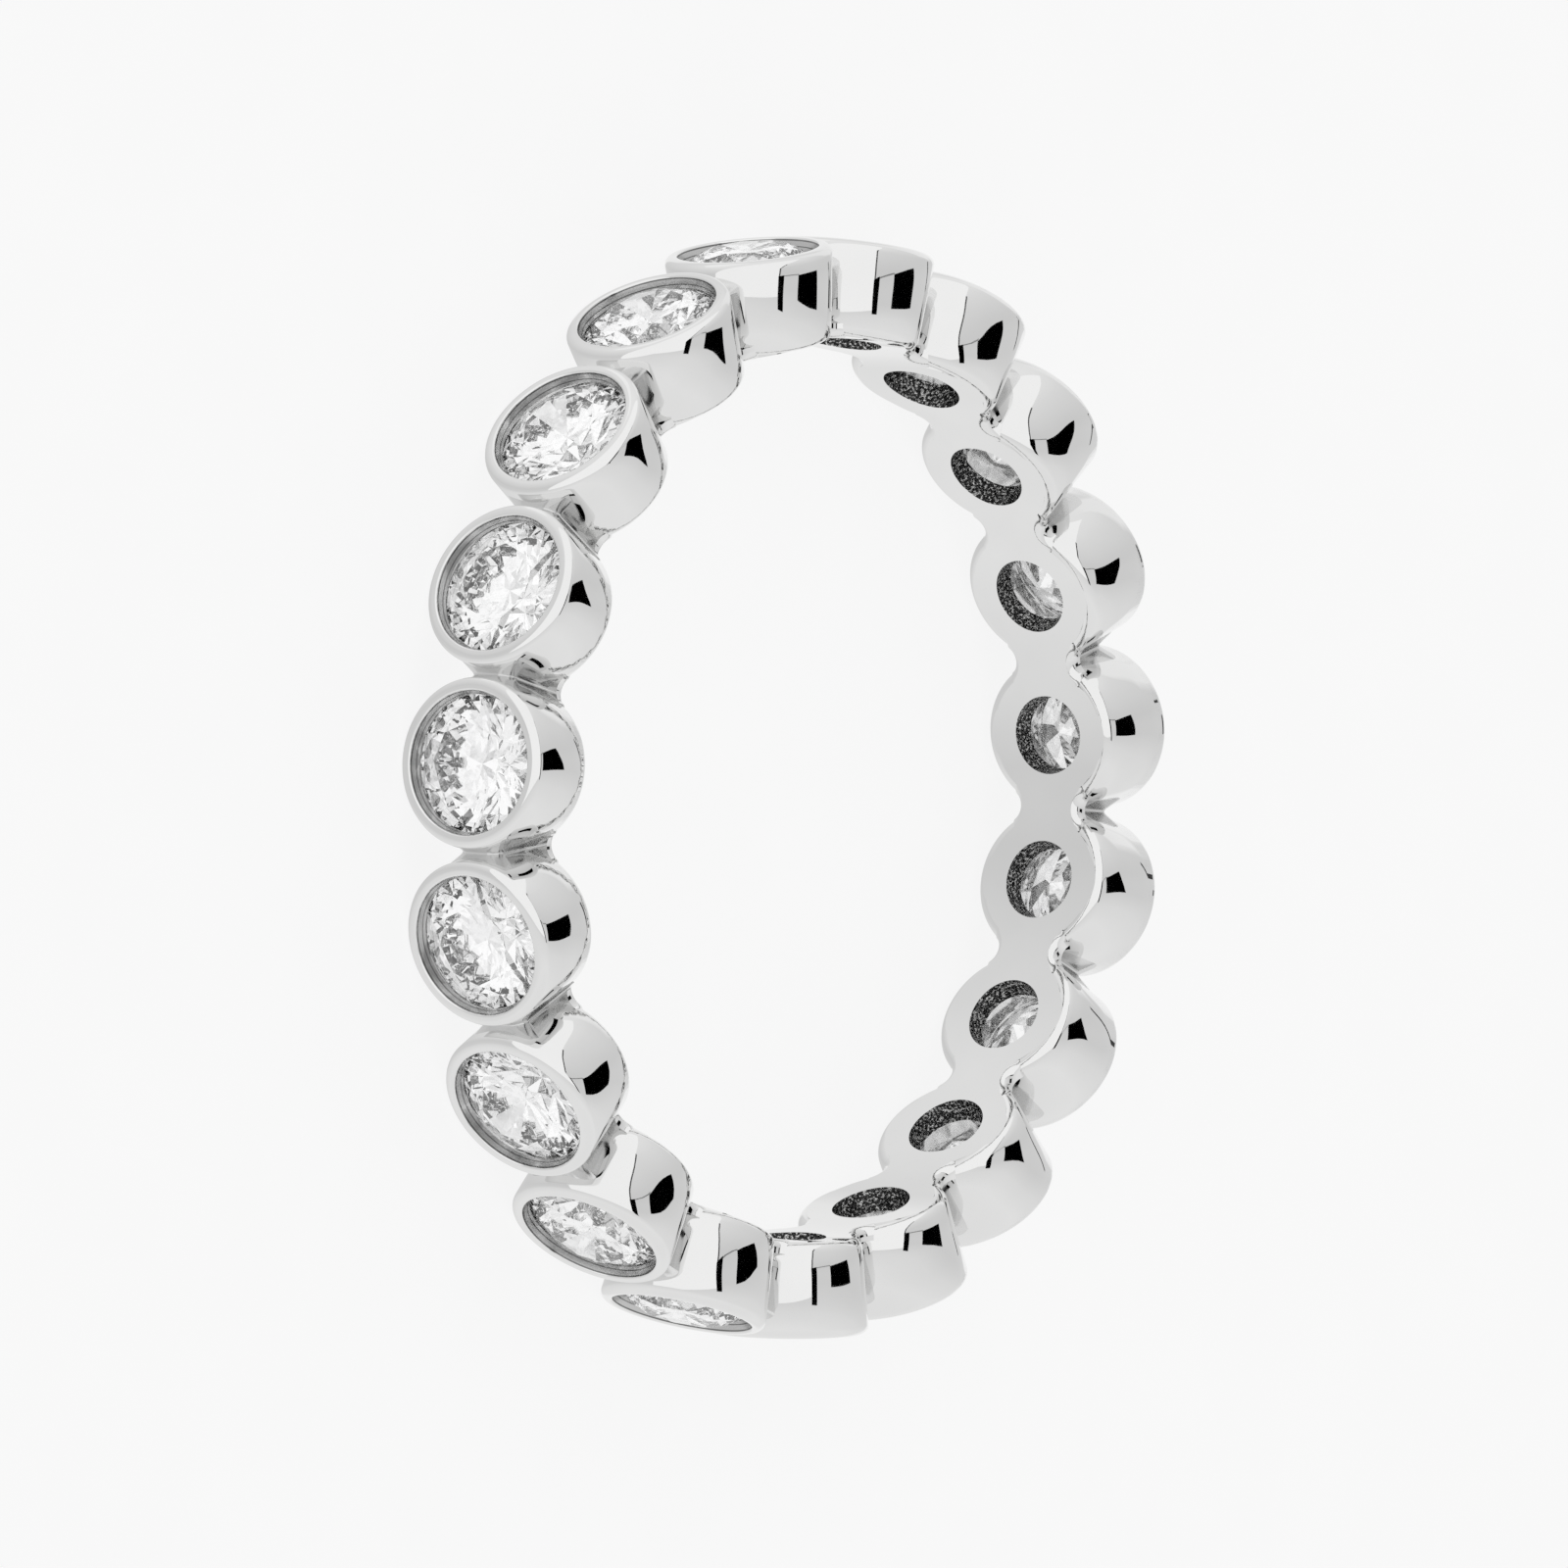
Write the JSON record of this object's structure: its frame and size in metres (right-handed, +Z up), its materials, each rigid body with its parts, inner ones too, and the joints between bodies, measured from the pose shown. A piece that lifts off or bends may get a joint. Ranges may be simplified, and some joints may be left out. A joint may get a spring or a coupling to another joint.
{
  "type": "eternity ring",
  "caption": "Full eternity finger ring: round tapered bezel cups joined into a loop at the finger face, each set with a round brilliant and open at the back.",
  "frame": {"origin": "on the ring's axis, at the level of the flat surface that the ring lies on", "axes": "+Z up along the ring's axis; +X out through the middle of one bezel"},
  "size_m": [0.0201, 0.0202, 0.0031],
  "materials": {
    "white_gold": "mirror-polished white precious metal, satin inside the back holes",
    "clear_stone": "clear, cut and polished"
  },
  "bodies": {
    "root": {"setting": "white_gold", "stone_01": "clear_stone", "stone_02": "clear_stone", "stone_03": "clear_stone", "stone_04": "clear_stone", "stone_05": "clear_stone", "stone_06": "clear_stone", "stone_07": "clear_stone", "stone_08": "clear_stone", "stone_09": "clear_stone", "stone_10": "clear_stone", "stone_11": "clear_stone", "stone_12": "clear_stone", "stone_13": "clear_stone", "stone_14": "clear_stone", "stone_15": "clear_stone", "stone_16": "clear_stone", "stone_17": "clear_stone", "stone_18": "clear_stone", "stone_19": "clear_stone"}
  },
  "joints": []
}
